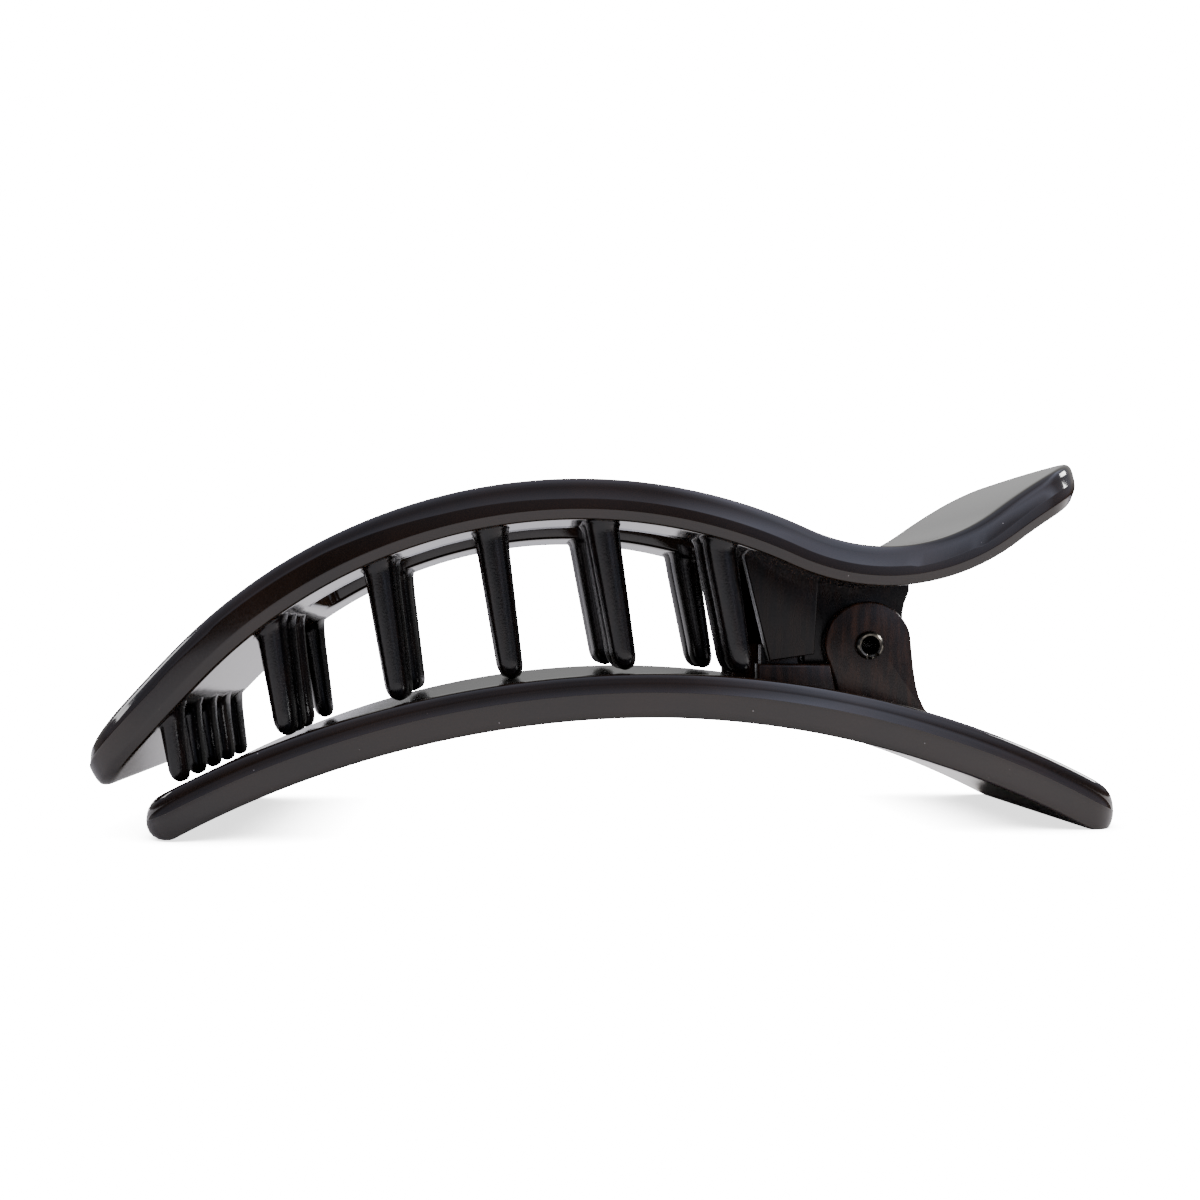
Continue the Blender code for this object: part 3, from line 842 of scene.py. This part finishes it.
# The splits' places round the rim and their reach in degrees, their depth, and where the rim starts.
SPLITS, SPLIT_REACH = (262, 305), 9
SPLIT_DEPTH, RIM_FROM = 0.3 * MM, 12.5 * MM
tube = bmesh.new()
outline = [(r, z) for r, z in RIVET_SECTION] + [(r, -z) for r, z in reversed(RIVET_SECTION)]
loop = [tube.verts.new((r * MM, 0, z * MM)) for r, z in outline]
loop_edges = [tube.edges.new(pair) for pair in zip(loop, loop[1:] + loop[:1])]
bmesh.ops.spin(
    tube,
    geom=loop + loop_edges,
    cent=(0, 0, 0),
    axis=(0, 0, 1),
    angle=2 * math.pi,
    steps=72,
    use_merge=True,
)
for vert in tube.verts:
    angle = math.degrees(math.atan2(vert.co.y, vert.co.x)) % 360
    near = max(0.0, 1 - min(abs(angle - s) for s in SPLITS) / SPLIT_REACH)
    if abs(vert.co.z) > RIM_FROM and near > 0:
        vert.co.z -= math.copysign(SPLIT_DEPTH * near, vert.co.z)
bmesh.ops.rotate(tube, verts=tube.verts, cent=(0, 0, 0), matrix=Matrix.Rotation(math.pi / 2, 3, "X"))
bmesh.ops.translate(tube, verts=tube.verts, vec=(PIN[0], 0, PIN[1]))
piece = finish_piece(tube, "rivet_tube", brass, "lower", "rivet")

# %% [markdown]
# ## Spring
# The torsion spring is one wire: a coil round the rivet and two straight legs, one under the
# thumb tab and one on the lower jaw. A curve with a round bevel makes the wire, and it is
# turned into a mesh.

# %% Make the spring
WIRE, COIL_RADIUS, TURNS, PITCH, REACH = 1.1 * MM, 3.1 * MM, 3, 1.6 * MM, 36.8 * MM


def leaving_angle(x, z, side):
    """Angle on the coil where a straight leg to (x, z) leaves it."""
    dx, dz = x - PIN[0], z - PIN[1]
    return math.atan2(dz, dx) + side * math.acos(COIL_RADIUS / math.hypot(dx, dz))


seat = WIRE / 2 + GAP
low = (REACH, lower_height(REACH, 1) + seat / math.cos(math.radians(19)))
high = (REACH, upper_height(REACH, -1) - seat / math.cos(upper_heading(REACH)))
first = leaving_angle(*low, -1)
last = leaving_angle(*high, 1) - 2 * math.pi * (TURNS + 1)
half_height = PITCH * (first - last) / (4 * math.pi)
route = [(low[0], -half_height, low[1])]
for k in range(161):
    angle = first + (last - first) * k / 160
    x, z = PIN[0] + COIL_RADIUS * math.cos(angle), PIN[1] + COIL_RADIUS * math.sin(angle)
    route.append((x, half_height * (2 * k / 160 - 1), z))
route.append((high[0], half_height, high[1]))
wire = bpy.data.curves.new("spring_wire", "CURVE")
wire.dimensions = "3D"
wire.bevel_depth = WIRE / 2
wire.bevel_resolution = 4
wire.use_fill_caps = True
spline = wire.splines.new("POLY")
spline.points.add(len(route) - 1)
for point, place in zip(spline.points, route):
    point.co = (*place, 1)
drawn = bpy.data.objects.new("spring_wire", wire)
bpy.context.scene.collection.objects.link(drawn)
bpy.context.view_layer.update()
solid = bpy.data.meshes.new_from_object(drawn.evaluated_get(bpy.context.evaluated_depsgraph_get()))
bpy.data.objects.remove(drawn)
coil = bmesh.new()
coil.from_mesh(solid)
bmesh.ops.remove_doubles(coil, verts=coil.verts, dist=0.002 * MM)
piece = finish_piece(coil, "spring_coil", steel, None, "spring")
# When the clip opens, the real spring's turns twist about the rivet between its legs. Here the
# ends of the turns on the rivet's axis are worked out, and the coil's place is baked into its mesh.
twist_start, twist_end = ((PIN[0], side * (half_height - WIRE), PIN[1]) for side in (-1, 1))
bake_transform(piece)
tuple(twist_start)
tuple(twist_end)

# %% [markdown]
# ## Floor and light
# The clip stands on a white table that fades into a white room. Black gloss shows only what
# it reflects, so the light is arranged for that: a pale wall behind the clip, a softbox beyond
# each end for the highlights, and a darker, cooler room on the camera's side that leaves the
# side walls black.

# %% Make the floor
# The photograph overexposes table and room to plain white, and only the camera sees that:
# the clip's reflections still see a table of ordinary brightness. A soft contact shadow comes
# from how much of the sky above each point of the table the clip hides.
OVEREXPOSED, IN_SHADOW = 20.0, 2.0
floor_finish, floor_tree, floor_shader = new_finish("matt white table", Roughness=0.9)
floor_shader.inputs["Base Color"].default_value = paint("#f0e9e2")
floor_shader.inputs["Emission Color"].default_value = (1, 1, 1, 1)
rays = add(floor_tree, "ShaderNodeLightPath")
contact = add(floor_tree, "ShaderNodeAmbientOcclusion", Distance=8 * MM)
shaded = ramp(floor_tree, contact.outputs["AO"], 0.2, 1.0, IN_SHADOW, OVEREXPOSED)
to_camera = rays.outputs["Is Camera Ray"]
glow = add(floor_tree, "ShaderNodeMath", [(0, to_camera), (1, shaded)], operation="MULTIPLY")
floor_tree.links.new(glow.outputs[0], floor_shader.inputs["Emission Strength"])
floor = bmesh.new()
bmesh.ops.create_grid(floor, x_segments=1, y_segments=1, size=1)
for vert in floor.verts:
    vert.co.x *= 2.5
    vert.co.y = 3.0 if vert.co.y > 0 else -0.9
mesh = bpy.data.meshes.new("floor")
floor.to_mesh(mesh)
floor.free()
mesh.materials.append(floor_finish)
floor = bpy.data.objects.new("floor", mesh)
bpy.context.scene.collection.objects.link(floor)
print("floor from", [round(v, 2) for v in floor.bound_box[0]], "to", [round(v, 2) for v in floor.bound_box[6]])


# %% Make the softboxes
def panel(name, place, aim, size, power):
    """A soft square light that faces a point."""
    light = bpy.data.lights.new(name, "AREA")
    light.shape = "RECTANGLE"
    light.size, light.size_y = size
    light.energy = power
    made = bpy.data.objects.new(name, light)
    made.location = place
    made.rotation_euler = (Vector(aim) - Vector(place)).to_track_quat("-Z", "Y").to_euler()
    bpy.context.scene.collection.objects.link(made)
    print(name, "of", power, "W")


panel("left softbox", (-0.50, 0.0, 0.235), (0, 0, 0.02), (0.22, 0.14), 0.95)
panel("right softbox", (0.45, -0.03, 0.28), (0, 0, 0.02), (0.18, 0.14), 3.2)

# %% Make the room
# Its brightness depends on the direction: +X to the right, +Y away from the camera, +Z up.
world = bpy.data.worlds.new("pale room, dark on the camera's side")
bpy.context.scene.world = world
world.use_nodes = True
tree = world.node_tree


def combined(operation, first, second):
    """One arithmetic step between two values of the room's brightness."""
    node = add(tree, "ShaderNodeMath", operation=operation)
    for socket, value in zip(node.inputs, (first, second)):
        if isinstance(value, bpy.types.NodeSocket):
            tree.links.new(value, socket)
        else:
            socket.default_value = value
    return node.outputs[0]


direction = add(tree, "ShaderNodeTexCoord").outputs["Generated"]
split = add(tree, "ShaderNodeSeparateXYZ", [("Vector", direction)])
sideways, away_from_camera, upward = (split.outputs[axis] for axis in "XYZ")
behind = ramp(tree, away_from_camera, 0.1, 0.5)
dim_corner = combined("MULTIPLY", ramp(tree, sideways, 0.28, 0.40), ramp(tree, upward, 0.1, 0.2, 0.8, 0.0))
wall_behind = ramp(tree, upward, 0.0, 0.30, 0.2, 0.75)
wall_behind = combined("MULTIPLY", wall_behind, combined("SUBTRACT", 1.0, dim_corner))
across = combined("MULTIPLY", ramp(tree, sideways, 0.22, 0.44), ramp(tree, sideways, 0.44, 0.7, 1.5, 0.2))
glow = combined("MULTIPLY", across, ramp(tree, upward, 0.0, 0.2))
near_horizon = ramp(tree, upward, 0.05, 0.18, 0.04, 0.36)
in_front = combined("ADD", glow, combined("ADD", near_horizon, ramp(tree, upward, 0.3, 0.9, 0.0, 0.7)))
difference = combined("SUBTRACT", wall_behind, in_front)
room = combined("ADD", in_front, combined("MULTIPLY", difference, behind))
to_camera = add(tree, "ShaderNodeLightPath").outputs["Is Camera Ray"]
seen = combined("MAXIMUM", room, combined("MULTIPLY", to_camera, OVEREXPOSED))
tree.links.new(seen, tree.nodes["Background"].inputs["Strength"])
cool = mixed(tree, behind, (0.86, 0.93, 1.2, 1), (1, 1, 1, 1))
tree.links.new(mixed(tree, to_camera, cool, (1, 1, 1, 1)), tree.nodes["Background"].inputs["Color"])
print("room nodes:", len(tree.nodes))
